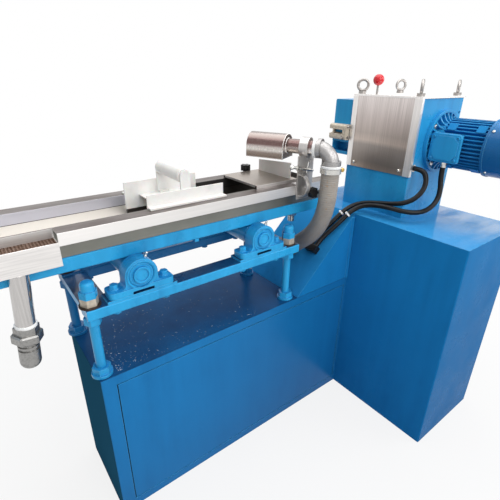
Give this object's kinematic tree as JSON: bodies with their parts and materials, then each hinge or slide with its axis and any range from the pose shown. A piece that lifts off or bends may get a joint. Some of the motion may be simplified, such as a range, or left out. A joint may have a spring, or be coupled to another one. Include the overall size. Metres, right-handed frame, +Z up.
{
  "type": "strand pelletizing line",
  "caption": "Strand pelletizing line: a stainless cooling trough rolling on a blue stand, with strand guide, air hood and hose, feeding a motor-driven cutter on a cabinet.",
  "frame": {"origin": "on the floor, under the middle of the base box", "axes": "+Z up, +X from the trough's intake to the cutter, -Y towards the operator"},
  "size_m": [1.57, 0.6815, 1.197],
  "materials": {
    "blue_paint": "glossy blue enamel",
    "stainless": "brushed sheet, wet in places",
    "brown_screen": "perforated sheet stained brown",
    "zinc": "zinc plated",
    "cast_grey": "satin casting",
    "dark_cast": "dark casting",
    "white_plastic": "milky white",
    "black_plastic": "moulded, satin",
    "red_ball": "glossy",
    "hose_grey": "ribbed flexible hose",
    "black_cable": "smooth sheath"
  },
  "bodies": {
    "stand": {"base_box": "blue_paint", "base_front_panel": "blue_paint", "slope_housing": "blue_paint", "cutter_cabinet": "blue_paint", "lower_frame": "blue_paint", "support_posts": "blue_paint", "post_nuts": "blue_paint", "top_nuts": "zinc", "pillow_block_front_near": "blue_paint", "pillow_block_front_far": "blue_paint", "pillow_block_rear_near": "blue_paint", "pillow_block_rear_far": "blue_paint", "bearing_inserts": "blue_paint", "cutter_housing": "blue_paint", "cutter_cover": "stainless", "cover_trims": "stainless", "cutter_top_plate": "blue_paint", "infeed_head": "blue_paint", "infeed_guide": "cast_grey", "eye_bolts": "zinc", "lift_lever": "red_ball", "motor_flange": "blue_paint", "motor_body": "blue_paint", "fan_cowl": "blue_paint", "terminal_box": "blue_paint", "cable_glands": "zinc", "cable_entry": "black_plastic", "hose_spigot": "black_plastic", "suction_hose": "hose_grey", "drive_cable": "black_cable", "motor_cable": "black_cable"},
    "trough": {"upper_rails": "blue_paint", "trough_floor": "stainless", "trough_wall_near": "stainless", "trough_wall_far": "stainless", "overflow_box": "stainless", "overflow_screen": "brown_screen", "drain_pipe": "stainless", "drain_fitting": "dark_cast", "drain_tap": "zinc", "guide_insert": "white_plastic", "roller_brackets": "white_plastic", "tray_plate": "stainless", "splash_plate": "white_plastic", "clamp_knobs": "black_plastic", "air_hood": "stainless", "hood_bracket": "stainless", "suction_elbow": "cast_grey", "hose_clip": "zinc"},
    "front_roller": {"front_roller": "blue_paint"},
    "rear_roller": {"rear_roller": "blue_paint"},
    "guide_roller": {"guide_roller": "white_plastic"}
  },
  "joints": [
    {"name": "trough_slide", "type": "slide", "parent": "stand", "child": "trough", "axis": [1, 0, 0], "range_m": [-0.1, 0.05], "deforming": ["suction_hose"]},
    {"name": "front_roller_spin", "type": "hinge", "parent": "stand", "child": "front_roller", "pos_m": [-0.322, 0, 0.748], "axis": [0, 1, 0], "range_deg": [-175, 88]},
    {"name": "rear_roller_spin", "type": "hinge", "parent": "stand", "child": "rear_roller", "pos_m": [0.055, 0, 0.748], "axis": [0, 1, 0], "range_deg": [-175, 88]},
    {"name": "guide_roller_spin", "type": "hinge", "parent": "trough", "child": "guide_roller", "pos_m": [-0.162, 0, 0.9533], "axis": [0, 1, 0], "continuous": true}
  ],
  "couplings": [
    {"joint": "front_roller_spin", "follows": "trough_slide", "rad_per_m": 30.303},
    {"joint": "rear_roller_spin", "follows": "trough_slide", "rad_per_m": 30.303}
  ]
}
